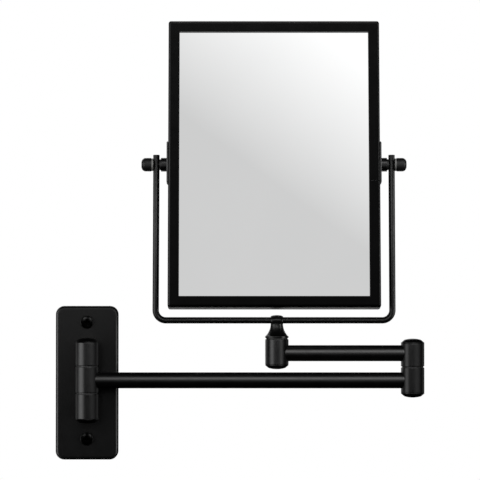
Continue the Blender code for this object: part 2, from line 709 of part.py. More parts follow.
def pivot_stud(name, frame, turn):
    """A screw from inside the frame's channel, which the knob runs on."""
    head_low, head_high = STUD_HEAD
    profile = [
        (STUD_HEAD_RADIUS, head_low),
        (STUD_HEAD_RADIUS, head_high),
        (STUD_RADIUS, head_high),
        (STUD_RADIUS, STUD_END),
    ]
    place(turned(name, profile, sides=SMALL_SIDES, along="X"), frame, turn=turn, surface=BLACK_STEEL)


def pivot_washer(name, frame, turn, span, radius, surface):
    profile = sleeve_profile(STUD_HOLE, radius, *span)
    mesh = turned(name, profile, closed=True, sides=SMALL_SIDES, along="X")
    return place(mesh, frame, turn=turn, surface=surface)


def knob(name, frame, turn):
    """A domed thumb nut with a blind bore."""
    low, high = KNOB
    edge = arc(high - KNOB_EDGE, KNOB_RADIUS - KNOB_EDGE, KNOB_EDGE, 90, 0)
    profile = [(STUD_HOLE, KNOB_BORE_END), (STUD_HOLE, low), (KNOB_RADIUS - BARREL_CHAMFER, low)]
    profile.append((KNOB_RADIUS, low + BARREL_CHAMFER))
    profile += [(radius, x) for x, radius in edge]
    place(turned(name, profile, along="X"), frame, turn=turn, surface=BLACK_PAINT)


def tilt_pivots(yoke, mirror):
    """Everything on the tilt axis, the same on both sides."""
    for side, about_face in (("right", 0), ("left", math.pi)):
        turn = (0, 0, about_face)
        pivot_bracket("pivot_bracket_" + side, mirror, turn)
        pivot_stud("pivot_stud_" + side, mirror, turn)
        pivot_washer("inner_washer_" + side, mirror, turn, INNER_WASHER, INNER_WASHER_RADIUS, BLACK_PLASTIC)
        outer = pivot_washer("outer_washer_" + side, yoke, turn, OUTER_WASHER, OUTER_WASHER_RADIUS, NYLON)
        outer.location = (YOKE_SHIFT, 0, PIVOT_Z)
        knob("knob_" + side, mirror, turn)


def main():
    for obj in list(bpy.data.objects):
        bpy.data.objects.remove(obj, do_unlink=True)

    wall = axis_frame("wall_hinge_axis", None, (0, AXIS_Y, 0))
    elbow = axis_frame("elbow_axis", wall, (LOWER_LENGTH, 0, 0))
    swivel = axis_frame("swivel_axis", elbow, (-UPPER_LENGTH, 0, 0))
    mirror = axis_frame("tilt_axis", swivel, (YOKE_SHIFT, 0, PIVOT_Z), (TILT, 0, 0))

    wall_plate()
    wall_bracket()
    bracket_screws()
    wall_screws()
    wall_hinge(wall)
    lower_arm(wall, elbow)
    upper_arm(elbow, swivel)
    swivel_stem(swivel)
    swivel_hardware(swivel)
    yoke_rod(swivel)
    mirror_frame(mirror)
    front_glass(mirror)
    rear_glass(mirror)
    glass_spacer(mirror)
    tilt_pivots(swivel, mirror)


main()
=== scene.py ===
"""Looks of the extendable wall mirror: fine meshes, materials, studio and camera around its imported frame."""

import json
import math

import bmesh
import bpy
from mathutils import Matrix, Vector

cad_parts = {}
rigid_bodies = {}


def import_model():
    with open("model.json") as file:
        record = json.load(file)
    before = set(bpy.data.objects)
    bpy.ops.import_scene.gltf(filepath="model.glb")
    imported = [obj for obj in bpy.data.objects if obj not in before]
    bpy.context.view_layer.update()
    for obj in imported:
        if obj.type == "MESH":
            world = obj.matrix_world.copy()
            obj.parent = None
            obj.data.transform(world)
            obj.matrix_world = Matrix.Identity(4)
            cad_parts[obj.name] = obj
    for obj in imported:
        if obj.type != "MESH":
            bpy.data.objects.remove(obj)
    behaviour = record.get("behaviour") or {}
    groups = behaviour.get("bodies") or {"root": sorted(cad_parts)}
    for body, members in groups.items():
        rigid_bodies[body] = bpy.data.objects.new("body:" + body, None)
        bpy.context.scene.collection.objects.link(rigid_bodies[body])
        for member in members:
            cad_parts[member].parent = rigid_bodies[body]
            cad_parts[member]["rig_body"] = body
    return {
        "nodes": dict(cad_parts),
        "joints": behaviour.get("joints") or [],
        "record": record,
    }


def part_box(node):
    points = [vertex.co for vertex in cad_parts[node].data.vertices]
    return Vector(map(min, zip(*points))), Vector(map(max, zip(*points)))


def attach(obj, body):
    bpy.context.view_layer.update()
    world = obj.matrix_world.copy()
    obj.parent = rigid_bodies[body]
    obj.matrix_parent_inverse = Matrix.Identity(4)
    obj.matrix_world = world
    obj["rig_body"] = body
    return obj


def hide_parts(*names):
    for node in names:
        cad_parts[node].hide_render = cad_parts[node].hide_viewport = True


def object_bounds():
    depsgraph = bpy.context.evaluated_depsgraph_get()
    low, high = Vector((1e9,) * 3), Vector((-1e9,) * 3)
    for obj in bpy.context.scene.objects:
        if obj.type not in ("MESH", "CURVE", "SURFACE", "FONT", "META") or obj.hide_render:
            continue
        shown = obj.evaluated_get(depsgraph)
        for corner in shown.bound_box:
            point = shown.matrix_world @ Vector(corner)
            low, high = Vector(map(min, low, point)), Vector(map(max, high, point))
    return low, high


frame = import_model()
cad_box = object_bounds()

# Fineness
SIDES = 96  # of a barrel, tube or knob
SMALL_SIDES = 48  # of a rod, screw or washer
CORNER_STEPS = 10
FILLET_STEPS = 6
BEND_STEPS = 24
FLARE_STEPS = 24
DOME_STEPS = 18
THREAD_STEPS = 10  # in each pitch
GLASS_COLUMNS = 72
GLASS_ROWS = 96
FLAT = math.radians(32)  # edges sharper than this stay sharp
TINY = 1e-7
FILLET_SHARE = 0.45  # of a side that a fillet may take up

# Fits and edges, in metres like all lengths here
HAIRLINE = 0.00012  # seam round a fitted piece
OVERLAP = 0.00001  # by which a clamped piece is pressed onto its seat
SLIP = 0.00002  # running clearance of a washer
PAST = 0.0010  # by which a cutting or joining piece passes the surface it meets
SOFT_EDGE = 0.00018  # rounding of a machined edge
SUPPORT = 0.0004  # flat margin kept beside a rounded edge

# Wall plate
PLATE_CORNER = 0.0065
PLATE_EDGE = 0.0025
PLATE_WALL = 0.0015
PLATE_INNER_FILLET = 0.0008
RIB_HALF = 0.0025
WALL_SCREW_HOLE = 0.0025  # radius
BRACKET_SCREW_HOLE = 0.0023  # radius

# Wall bracket
FOOT_SHARE = 0.92  # of the bracket's height
FOOT_THICK = 0.0026
FOOT_EDGE = 0.0005
FOOT_CORNER = 0.001
FOOT_MARGIN = 0.0006  # beside the lugs
LUG_HALF = 0.0054
LUG_CORNER = 0.0008
WALL_SEAT = 0.0060

# Screws. The shares are of the head's radius and height, and the thread's of the screw's radius
RECESS_REACH, RECESS_ACROSS, RECESS_DEPTH = 0.54, 0.22, 0.85
THREAD_CORE = 0.72
WALL_SCREW = {
    "head_radius": 0.0049, "head_height": 0.0026, "radius": 0.0020, "pitch": 0.0018, "point": 0.0045
}
BRACKET_SCREW = {
    "head_radius": 0.0038, "head_height": 0.0024, "radius": 0.0020, "pitch": 0.0007, "point": 0.0007
}

# Barrels, tubes and caps
REGISTER_RADIUS = 0.0076  # raised middle of a bearing washer
REGISTER_RISE = 0.0001
BORE_RADIUS = 0.0028
COUNTERBORE_RADIUS = 0.0050
ELBOW_COUNTERBORE = 0.0090
ELBOW_HEAD_DEPTH = 0.0070
SWIVEL_COUNTERBORE = 0.0095
BARREL_EDGE = 0.00045
TUBE_WALL = 0.0010
CAP_STUB = 0.0018
CAP_STUB_RADIUS = 0.0047
CAP_SIDE = 0.0003
CAP_SHOULDER = 0.0024
CAP_SHOULDER_EDGE = 0.0016
CAP_CROWN_RADIUS = 0.0062

# Swivel stem and yoke
COLLAR_HEIGHT = 0.0014
FLARE_HEIGHT = 0.0089
NECK_RADIUS = 0.00465
NECK_DROP = 0.0034  # height of the neck's rounded top, up to the rod's middle
ROD_HOLE = 0.0027
ROD_GRIP = 0.00028  # by which the hole is tighter, so that no gap shows
BEND_RADIUS = 0.0076
LEG_LEAN = 0.0005  # how much closer the legs are at the top than at the bottom
ROD_END_EDGE = 0.0004

# Mirror head
RAIL = 0.00835
RAIL_WALL = 0.0012
RAIL_EDGE = 0.0019
RAIL_INNER_EDGE = 0.00025
LIP_THICK = 0.0020
FRAME_CORNER = 0.0018
FRAME_JOINT_Z = -0.0133
FRAME_JOINT_GAP = 0.0003
FRONT_GLASS_EDGE = 0.0003
REAR_GLASS_THICK = 0.0020
REAR_GLASS_SAG = 0.0030
STUD_HOLE = 0.0018
STUD_FIT = 0.00154  # hole in the rod, close on the stud
BRACKET_THICK = 0.0010
BRACKET_CHAMFER = 0.0008
BOSS_RADIUS = 0.00515
BOSS_EDGE = 0.0005
KNOB_EDGE = 0.0033
KNOB_BORE = 0.0052
WASHER_BORE = 0.0018
WASHER_ROOM = 0.00018  # clearance that a washer or knob fills

# Studio
CORE = 0.55  # of the wide lamp's angles
BEHIND = 0.01  # from the wide lamp to its core
WORLD_GLOW = 0.02
BACKDROP_RADIUS = 10.0
ROOM_RADIUS = 8.0
FLOOR_RADIUS = 4.5
FLOOR_DROP = 0.4  # below the object
FLOOR_TONE, FLOOR_GLOW = 0.86, 0.8
ROOM_SLOPE = (3.825, 0.0, 5.337)  # direction in which the room brightens
ROOM_GLOW = (0.66, 1.08)  # darkest and brightest
ROOM_SLOPE_SPAN = (1.56, 1.99)  # where along the slope these are reached

# Camera
SENSOR = 36.0  # in millimetres, like the lens
LENS = 200.1
VIEW_DISTANCE = 2.0
VIEW_X = 0.1146
EYE_HEIGHT = 0.0600
AIM_RISE = 0.0473  # from the eye's height up to the picture's middle

nodes = frame["nodes"]
slot_of = {part["node"]: part["material_slot"] for part in frame["record"]["subparts"]}
axis_at = {joint["name"]: Vector(joint["pos_m"]) for joint in frame["joints"]}


# ---------------------------------------------------------------- outlines


def filleted(outline, closed=True):
    """Points of an outline with its corners, given as (a, b, radius), rounded and a flat margin beside each."""
    points = []
    count = len(outline)
    for i, (a, b, radius) in enumerate(outline):
        corner = Vector((a, b))
        if not radius or (not closed and i in (0, count - 1)):
            points.append(corner)
            continue
        back = Vector(outline[i - 1][:2]) - corner
        ahead = Vector(outline[(i + 1) % count][:2]) - corner
        half = back.angle(ahead) / 2
        reach = min(radius / math.tan(half), FILLET_SHARE * back.length, FILLET_SHARE * ahead.length)
        into, out = back.normalized(), ahead.normalized()
        middle = corner + (into + out).normalized() * reach / math.cos(half)
        start = corner + into * reach - middle
        end = corner + out * reach - middle
        turn = start.angle(end)
        if back.length > 2 * (reach + SUPPORT):
            points.append(corner + into * (reach + SUPPORT))
        for step in range(FILLET_STEPS + 1):
            share = step / FILLET_STEPS
            blend = start * math.sin((1 - share) * turn) + end * math.sin(share * turn)
            points.append(middle + blend / math.sin(turn))
        if ahead.length > 2 * (reach + SUPPORT):
            points.append(corner + out * (reach + SUPPORT))
    return [tuple(point) for point in points]


def arc(centre_a, centre_b, radius, start, end, steps):
    """Points of an arc from start to end, in degrees."""
    angles = [math.radians(start + (end - start) * step / steps) for step in range(steps + 1)]
    return [(centre_a + radius * math.cos(a), centre_b + radius * math.sin(a)) for a in angles]


def rounded_rectangle(half_a, half_b, radius, centre=(0, 0)):
    """Points round a rectangle with rounded corners."""
    points = []
    for quarter, (side_a, side_b) in enumerate(((1, 1), (-1, 1), (-1, -1), (1, -1))):
        middle = (centre[0] + side_a * (half_a - radius), centre[1] + side_b * (half_b - radius))
        points += arc(*middle, radius, 90 * quarter, 90 * quarter + 90, CORNER_STEPS)
    return points


# ---------------------------------------------------------------- meshes


def finished(bm):
    """A mesh of bm, faces outward, smooth but for its sharp edges."""
    bmesh.ops.recalc_face_normals(bm, faces=bm.faces)
    mesh = bpy.data.meshes.new("mesh")
    bm.to_mesh(mesh)
    bm.free()
    smoothed(mesh)
    return mesh


def smoothed(mesh):
    mesh.shade_smooth()
    mesh.set_sharp_from_angle(angle=FLAT)


def loft(rings, closed=False):
    """A skin over rings of points, where a ring of one point is a pole. Open, its end rings get caps."""
    bm = bmesh.new()
    rows = [[bm.verts.new(point) for point in ring] for ring in rings]
    pairs = list(zip(rows, rows[1:]))
    if closed:
        pairs.append((rows[-1], rows[0]))
    for low, high in pairs:
        count = max(len(low), len(high))
        for i in range(count):
            j = (i + 1) % count
            corners = [low[i], low[j]] if len(low) > 1 else [low[0]]
            corners += [high[j], high[i]] if len(high) > 1 else [high[0]]
            bm.faces.new(corners)
    if not closed:
        for row in (rows[0], rows[-1]):
            if len(row) > 1:
                bm.faces.new(row)
    return finished(bm)


def turned(outline, closed=True, sides=SIDES, along="Z"):
    """An outline of (radius, height) points turned about Z, or about X. A radius of 0 is a pole."""
    rings = []
    for radius, height in outline:
        turns = [2 * math.pi * side / sides for side in range(sides)] if radius > TINY else [0]
        if along == "Z":
            rings.append([(radius * math.cos(t), radius * math.sin(t), height) for t in turns])
        else:
            rings.append([(height, radius * math.cos(t), radius * math.sin(t)) for t in turns])
    return loft(rings, closed)


def rod(radius, start, end, along="Z", sides=SIDES):
    """A plain round bar, for cutting a bore."""
    return turned([(0, start), (radius, start), (radius, end), (0, end)], False, sides, along)


def slab(half_x, half_z, corner, section, closed=False, centre=(0, 0)):
    """Rounded rectangles in the XZ plane, one for each (inset, y) point of the section, skinned together."""
    rings = []
    for inset, y in section:
        radius = max(corner - inset, SOFT_EDGE)
        outline = rounded_rectangle(half_x - inset, half_z - inset, radius, centre)
        rings.append([(x, y, z) for x, z in outline])
    return loft(rings, closed)


def block(low, high):
    """A plain box between two corners, for cutting."""
    ring = [(low[0], low[1]), (high[0], low[1]), (high[0], high[1]), (low[0], high[1])]
    return loft([[(x, y, z) for x, y in ring] for z in (low[2], high[2])])


def moved(mesh, x=0.0, y=0.0, z=0.0):
    mesh.transform(Matrix.Translation((x, y, z)))
    return mesh


def carved(mesh, *tools):
    """mesh with each (operation, helper mesh) applied in turn."""
    target = bpy.data.objects.new("target", mesh)
    bpy.context.scene.collection.objects.link(target)
    helpers = []
    for operation, tool in tools:
        helper = bpy.data.objects.new("helper", tool)
        bpy.context.scene.collection.objects.link(helper)
        modifier = target.modifiers.new("carve", "BOOLEAN")
        modifier.operation = operation
        modifier.object = helper
        helpers.append(helper)
    evaluated = target.evaluated_get(bpy.context.evaluated_depsgraph_get())
    result = bpy.data.meshes.new_from_object(evaluated)
    for obj in (target, *helpers):
        bpy.data.objects.remove(obj)
    smoothed(result)
    return result


def cut(*tools):
    return [("DIFFERENCE", tool) for tool in tools]


def join(*tools):
    return [("UNION", tool) for tool in tools]


# ---------------------------------------------------------------- materials


class Finish:
    """A Principled material whose variation comes from procedural nodes."""

    def __init__(self, name, **constants):
        self.material = bpy.data.materials.new(name)
        self.material.use_nodes = True
        self.tree = self.material.node_tree
        self.shader = self.tree.nodes["Principled BSDF"]
        for socket, value in constants.items():
            self.shader.inputs[socket.replace("_", " ")].default_value = value
        self.place = self.node("ShaderNodeTexCoord").outputs["Object"]

    def node(self, kind, **inputs):
        node = self.tree.nodes.new(kind)
        for socket, value in inputs.items():
            self.feed(node.inputs[socket.replace("_", " ")], value)
        return node

    def feed(self, socket, value):
        if isinstance(value, bpy.types.NodeSocket):
            self.tree.links.new(value, socket)
        else:
            socket.default_value = value

    def noise(self, size, detail=3.0, stretch=(1, 1, 1)):
        """Cloudy values from 0 to 1 with features of this size."""
        mapping = self.node("ShaderNodeMapping", Vector=self.place, Scale=stretch)
        noise = self.node(
            "ShaderNodeTexNoise", Vector=mapping.outputs["Vector"], Scale=1 / size, Detail=detail
        )
        return noise.outputs["Fac"]

    def span(self, value, low, high, start=0.3, end=0.7):
        """value, which runs from start to end, made to run from low to high."""
        node = self.node(
            "ShaderNodeMapRange", Value=value, From_Min=start, From_Max=end, To_Min=low, To_Max=high
        )
        return node.outputs["Result"]

    def mix(self, factor, first, second):
        """Colours first and second, mixed by factor."""
        node = self.tree.nodes.new("ShaderNodeMix")
        node.data_type = "RGBA"
        for socket, value in ((0, factor), (6, first), (7, second)):
            if not isinstance(value, (tuple, bpy.types.NodeSocket)):
                value = float(value)
            self.feed(node.inputs[socket], (*value, 1.0) if isinstance(value, tuple) else value)
        return node.outputs[2]

    def edges(self, start, end):
        """0 on flat and hollow places, up to 1 on edges that stick out."""
        return self.span(self.node("ShaderNodeNewGeometry").outputs["Pointiness"], 0.0, 1.0, start, end)

    def relief(self, height, depth, strength=1.0):
        """Fine relief in the surface."""
        bump = self.node("ShaderNodeBump", Height=height, Distance=depth, Strength=strength)
        self.feed(self.shader.inputs["Normal"], bump.outputs["Normal"])


def satin_paint(name, roughness, grain):
    """Powder coat: fine orange peel, slightly uneven sheen, rubbed a little on its edges."""
    paint = Finish(name, Specular_IOR_Level=0.35)
    cloud = paint.noise(0.022)
    colour = paint.mix(paint.span(cloud, 0.0, 1.0), (0.0010, 0.0010, 0.0011), (0.0022, 0.0022, 0.0023))
    rubbed = paint.node("ShaderNodeMath", Value=paint.edges(0.56, 0.72))
    rubbed.operation = "MULTIPLY"
    paint.feed(rubbed.inputs[1], paint.span(paint.noise(0.004), 0.15, 0.6))
    colour = paint.mix(rubbed.outputs[0], colour, (0.030, 0.029, 0.028))
    paint.feed(paint.shader.inputs["Base Color"], colour)
    paint.feed(paint.shader.inputs["Roughness"], paint.span(paint.noise(0.009), *roughness))
    paint.relief(paint.noise(grain, 2.0), grain / 45, 0.5)
    return paint.material


def black_oxide():
    """Blackened steel screws: uneven, and brighter on the rim."""
    steel = Finish("black_oxide", Specular_IOR_Level=0.35)
    cloud = steel.span(steel.noise(0.002), 0.0, 1.0)
    colour = steel.mix(cloud, (0.001, 0.001, 0.001), (0.003, 0.003, 0.003))
    colour = steel.mix(steel.edges(0.55, 0.70), colour, (0.020, 0.020, 0.019))
    steel.feed(steel.shader.inputs["Base Color"], colour)
    steel.feed(steel.shader.inputs["Roughness"], steel.span(steel.noise(0.0012), 0.28, 0.40))
    steel.relief(steel.noise(0.0004, 2.0), 0.00001, 0.5)
    return steel.material


def zinc_plate():
    """Zinc-plated steel with fine turning marks."""
    zinc = Finish("zinc_plate", Metallic=1.0)
    marks = zinc.noise(0.0006, 4.0, (1, 1, 9))
    colour = zinc.mix(zinc.span(marks, 0.0, 1.0), (0.46, 0.46, 0.47), (0.62, 0.62, 0.63))
    zinc.feed(zinc.shader.inputs["Base Color"], colour)
    zinc.feed(zinc.shader.inputs["Roughness"], zinc.span(zinc.noise(0.002), 0.26, 0.42))
    zinc.relief(marks, 0.000015, 0.4)
    return zinc.material


def plain_plastic(name, dark, light, roughness):
    """Moulded plastic with a faint cloud and a fine matt grain."""
    plastic = Finish(name, Specular_IOR_Level=0.4)
    colour = plastic.mix(plastic.span(plastic.noise(0.003), 0.0, 1.0), dark, light)
    plastic.feed(plastic.shader.inputs["Base Color"], colour)
    plastic.feed(plastic.shader.inputs["Roughness"], plastic.span(plastic.noise(0.0015), *roughness))
    plastic.relief(plastic.noise(0.0003, 2.0), 0.00001, 0.5)
    return plastic.material


def silvered_glass():
    """Polished mirror glass: a trace of haze and a slightly uneven silver tone."""
    glass = Finish("silvered_glass", Metallic=1.0)
    colour = glass.mix(glass.span(glass.noise(0.06), 0.0, 1.0), (0.925, 0.93, 0.93), (0.94, 0.943, 0.943))
    glass.feed(glass.shader.inputs["Base Color"], colour)
    glass.feed(glass.shader.inputs["Roughness"], glass.span(glass.noise(0.03), 0.004, 0.012))
    return glass.material


def open_foam():
    """Dark foam tape with open cells."""
    foam = Finish("foam", Specular_IOR_Level=0.2)
    cells = foam.node("ShaderNodeTexVoronoi", Vector=foam.place, Scale=1800.0).outputs["Distance"]
    colour = foam.mix(foam.span(cells, 0.0, 1.0, 0.0, 0.8), (0.02, 0.02, 0.02), (0.07, 0.07, 0.07))
    foam.feed(foam.shader.inputs["Base Color"], colour)
    foam.feed(foam.shader.inputs["Roughness"], foam.span(cells, 0.85, 0.95, 0.0, 0.8))
    foam.relief(cells, 0.0001)
    return foam.material


materials = {
    "black_paint": satin_paint("black_paint", (0.29, 0.35), 0.00055),
    "black_screw": black_oxide(),
    "hardware_steel": zinc_plate(),
    "black_plastic": plain_plastic(
        "black_plastic", (0.006, 0.006, 0.006), (0.012, 0.012, 0.012), (0.42, 0.55)
    ),
    "nylon": plain_plastic("nylon", (0.11, 0.11, 0.105), (0.16, 0.16, 0.155), (0.40, 0.52)),
    "silvered_glass": silvered_glass(),
    "foam": open_foam(),
}

textured_paint = satin_paint("textured_paint", (0.46, 0.56), 0.0016)
matt_paint = satin_paint("matt_paint", (0.36, 0.40), 0.00055)


# ---------------------------------------------------------------- pieces


def piece(node, mesh, place=Matrix.Identity(4), material=None):
    """A fine mesh that stands for a CAD node, on its body, and in its slot's material if none is given."""
    mesh.name = node + "_fine"
    mesh.materials.clear()
    mesh.materials.append(material or materials[slot_of[node]])
    obj = bpy.data.objects.new(node + "_fine", mesh)
    bpy.context.scene.collection.objects.link(obj)
    obj.matrix_world = place
    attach(obj, nodes[node]["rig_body"])
    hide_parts(node)


def box_in(node, place):
    """Lowest and highest corner of a CAD node in the coordinates of place."""
    back = place.inverted()
    points = [back @ vertex.co for vertex in nodes[node].data.vertices]
    low = Vector([min(point[i] for point in points) for i in range(3)])
    high = Vector([max(point[i] for point in points) for i in range(3)])
    return low, high


def upright(joint):
    """The upright axis of a hinge, as a place whose heights are the frame's."""
    at = axis_at[joint]
    return Matrix.Translation((at.x, at.y, 0))


def cross_recess(top, half_length, half_width, depth):
    """Two tapered blades, which cut the recess of a cross-head screw."""
    blades = []
    for quarter in (0, 1):
        rings = []
        for height, share in ((top + depth, 1.5), (top - depth, 0.5)):
            reach, across = half_length * share, half_width * share
            ring = [(reach, across), (-reach, across), (-reach, -across), (reach, -across)]
            if quarter:
                ring = [(-y, x) for x, y in ring]
            rings.append([(x, y, height) for x, y in ring])
        blades.append(loft(rings))
    return blades


def screw(node, turn, head_radius, head_height, radius, pitch, point):
    """A cross-head screw with a real thread. turn points the local Z, head upward, along the screw."""
    low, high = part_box(node)
    middle = (low + high) / 2
    place = Matrix.Translation((middle.x, 0, middle.z)) @ Matrix.Rotation(turn, 4, "X")
    low, high = box_in(node, place)
    seat = high.z - head_height
    steps = round((seat - low.z) / pitch * THREAD_STEPS)
    turns = [2 * math.pi * side / SMALL_SIDES for side in range(SMALL_SIDES)]
    rings = [[(0, 0, low.z)]]
    for step in range(1, steps + 1):
        height = low.z + (seat - low.z) * step / steps
        taper = min(1.0, (height - low.z) / point)
        ring = []
        for t in turns:
            wave = abs(2 * (((height - low.z) / pitch - t / (2 * math.pi)) % 1.0) - 1)
            reach = radius * taper * (THREAD_CORE + (1 - THREAD_CORE) * max(0.0, 1.6 * wave - 0.6))
            ring.append((reach * math.cos(t), reach * math.sin(t), height))
        rings.append(ring)
    shank = loft(rings)
    dome = [
        (head_radius * math.cos(angle), seat + SOFT_EDGE + (head_height - SOFT_EDGE) * math.sin(angle))
        for angle in (math.radians(6 * step) for step in range(15))
    ]
    head = turned([(0, seat), (head_radius - SOFT_EDGE, seat), *dome, (0, high.z)], False)
    reach, across = RECESS_REACH * head_radius, RECESS_ACROSS * head_radius
    recess = cross_recess(high.z, reach, across, RECESS_DEPTH * head_height)
    piece(node, carved(head, *cut(*recess), *join(shank)), place)


def wall_plate():
    """A shallow shell, open at the back, with a rib across its middle and its screw holes."""
    low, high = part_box("wall_plate")
    middle = (low.x + high.x) / 2
    width = (high.x - low.x) / 2
    outer = filleted([(0, 0, 0), (0, low.y, PLATE_EDGE), (width / 2, low.y, 0)], False)
    plate = slab(width, high.z, PLATE_CORNER, outer[:-1])
    half_x = width - PLATE_WALL
    half_z = (high.z - PLATE_WALL - RIB_HALF) / 2
    floor = low.y + PLATE_WALL
    tools = []
    for up in (1, -1):
        section = [(0, PAST, 0), (0, floor, PLATE_INNER_FILLET), (half_x / 2, floor, 0)]
        centre = (0, up * (RIB_HALF + half_z))
        section = filleted(section, False)[:-1]
        tools.append(slab(half_x, half_z, PLATE_CORNER - PLATE_WALL, section, centre=centre))
    for node, radius in (
        ("wall_screw_top", WALL_SCREW_HOLE),
        ("wall_screw_bottom", WALL_SCREW_HOLE),
        ("bracket_screw_upper", BRACKET_SCREW_HOLE),
        ("bracket_screw_lower", BRACKET_SCREW_HOLE),
    ):
        corner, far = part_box(node)
        hole = rod(radius, low.y - PAST, low.y / 2)
        hole.transform(Matrix.Rotation(math.radians(-90), 4, "X"))
        tools.append(moved(hole, x=(corner.x + far.x) / 2 - middle, z=(corner.z + far.z) / 2))
    piece("wall_plate", carved(plate, *cut(*tools)), Matrix.Translation((middle, 0, 0)), matt_paint)


def wall_bracket():
    """Foot, lugs and the two outer barrels of the wall hinge, as one casting."""
    low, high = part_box("wall_bracket")
    hub_low, hub_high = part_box("wall_hub")
    axis = axis_at["wall_hinge"]
    barrel_radius = hub_high.x
    foot_half = FOOT_SHARE * (high.z - low.z) / 2
    middle = (high.z + low.z) / 2
    foot_face = high.y - FOOT_THICK
    foot_edge = filleted([(0, high.y, 0), (0, foot_face, FOOT_EDGE), (0.004, foot_face, 0)], False)
    foot = slab(LUG_HALF + FOOT_MARGIN, foot_half, FOOT_CORNER, foot_edge[:-1], centre=(0, middle))
    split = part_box("wall_washer_upper")
    gap = (split[0].z + split[1].z) / 2 - hub_high.z
    joins = []
    cuts = []
    for up in (1, -1):
        near = hub_high.z + 2 * gap if up > 0 else hub_low.z - 2 * gap
        far = high.z if up > 0 else low.z
        seat = near + up * WALL_SEAT
        outline = filleted(
            [
                (0, near + up * (REGISTER_RISE + SLIP), 0),
                *register(near, up),
                (barrel_radius, near, BARREL_EDGE),
                (barrel_radius, far, BARREL_EDGE),
                (0, far, 0),
            ],
            False,
        )
        joins.append(moved(turned(outline, False), y=axis.y))
        lug_half = abs(far - near) / 2 - BARREL_EDGE
        lug_section = [(0, axis.y), (0, high.y - PAST)]
        joins.append(slab(LUG_HALF, lug_half, LUG_CORNER, lug_section, centre=(0, (near + far) / 2)))
        cuts.append(moved(rod(COUNTERBORE_RADIUS, *sorted((seat, far + up * PAST))), y=axis.y))
    cuts.append(moved(rod(BORE_RADIUS, low.z - PAST, high.z + PAST), y=axis.y))
    piece("wall_bracket", carved(foot, *join(*joins), *cut(*cuts)))


def register(height, inward):
    """The shallow recess in a barrel's end for a bearing washer's raised middle."""
    inner = height + inward * (REGISTER_RISE + SLIP)
    return [(REGISTER_RADIUS + SLIP, inner, 0), (REGISTER_RADIUS + SLIP, height, 0)]


def knuckle(node, joint, tube, side, counterbore=None):
    """A turned knuckle with a socket for its tube.

    counterbore is its depth from the bottom, or, below 0, from the top.
    """
    place = upright(joint)
    low, high = box_in(node, place)
    outer = high.y
    recess = REGISTER_RISE + SLIP
    bottom_end = [(BORE_RADIUS, low.z + recess, 0), *register(low.z, 1)]
    top_end = [*reversed(register(high.z, -1)), (BORE_RADIUS, high.z - recess, 0)]
    corners = [(outer, low.z, BARREL_EDGE), (outer, high.z, BARREL_EDGE)]
    if counterbore is None:
        corners = [*bottom_end, *corners, *top_end]
    elif counterbore > 0:
        step = low.z + counterbore
        corners = [(COUNTERBORE_RADIUS, low.z, SOFT_EDGE), *corners, *top_end]
        corners += [(BORE_RADIUS, step, 0), (COUNTERBORE_RADIUS, step, 0)]
    else:
        step = high.z + counterbore
        corners = [*bottom_end, *corners, (COUNTERBORE_RADIUS, high.z, SOFT_EDGE)]
        corners += [(COUNTERBORE_RADIUS, step, 0), (BORE_RADIUS, step, 0)]
    tube_low, tube_high = box_in(tube, place)
    start = tube_low.x if side > 0 else tube_high.x
    ends = sorted((start - side * HAIRLINE, side * 2 * outer))
    socket = rod((tube_high.z - tube_low.z) / 2 + HAIRLINE, *ends, "X")
    moved(socket, z=(tube_low.z + tube_high.z) / 2)
    piece(node, carved(turned(filleted(corners)), *cut(socket)), place)


def tube(node):
    """A tube with softened ends."""
    low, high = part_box(node)
    radius = (high.z - low.z) / 2
    place = Matrix.Translation((0, (low.y + high.y) / 2, (low.z + high.z) / 2))
    inner = radius - TUBE_WALL
    corners = [(inner, low.x), (radius, low.x), (radius, high.x), (inner, high.x)]
    outline = filleted([(*corner, SOFT_EDGE) for corner in corners])
    piece(node, turned(outline, along="X"), place)


def end_cap(node, joint, knuckle_node, up):
    """A plug with a sloping shoulder and a crown. up is 1 on top of a knuckle and -1 below."""
    place = upright(joint)
    low, high = box_in(node, place)
    knuckle_low, knuckle_high = box_in(knuckle_node, place)
    radius = high.y
    height = high.z - low.z - CAP_STUB
    if up > 0:
        seat = knuckle_high.z - OVERLAP - low.z - CAP_STUB
    else:
        seat = high.z - CAP_STUB - knuckle_low.z - OVERLAP
    corners = [
        (0, -CAP_STUB, 0),
        (CAP_STUB_RADIUS, -CAP_STUB, SOFT_EDGE),
        (CAP_STUB_RADIUS, seat, 0),
        (radius, seat, SOFT_EDGE / 2),
        (radius, CAP_SIDE, SOFT_EDGE),
        (CAP_CROWN_RADIUS, CAP_SHOULDER, CAP_SHOULDER_EDGE),
    ]
    for share in (0.8, 0.6, 0.4, 0.2, 0.0):
        corners.append((CAP_CROWN_RADIUS * share, height - (height - CAP_SHOULDER) * share**2, 0))
    base = low.z + CAP_STUB if up > 0 else high.z - CAP_STUB
    outline = [(r, base + up * z) for r, z in filleted(corners, False)]
    piece(node, turned(outline, False), place)


def bearing_washer(node, joint, face):
    """A washer that fills the split beside a barrel's face, with a raised middle on both sides."""
    place = upright(joint)
    low, high = box_in(node, place)
    middle = (low.z + high.z) / 2
    half = abs(middle - face) - SLIP
    corners = [(BORE_RADIUS, middle - half - REGISTER_RISE), (REGISTER_RADIUS, middle - half - REGISTER_RISE)]
    corners += [(REGISTER_RADIUS, middle - half), (high.y, middle - half)]
    corners += [(r, 2 * middle - z) for r, z in reversed(corners)]
    piece(node, turned(corners), place)


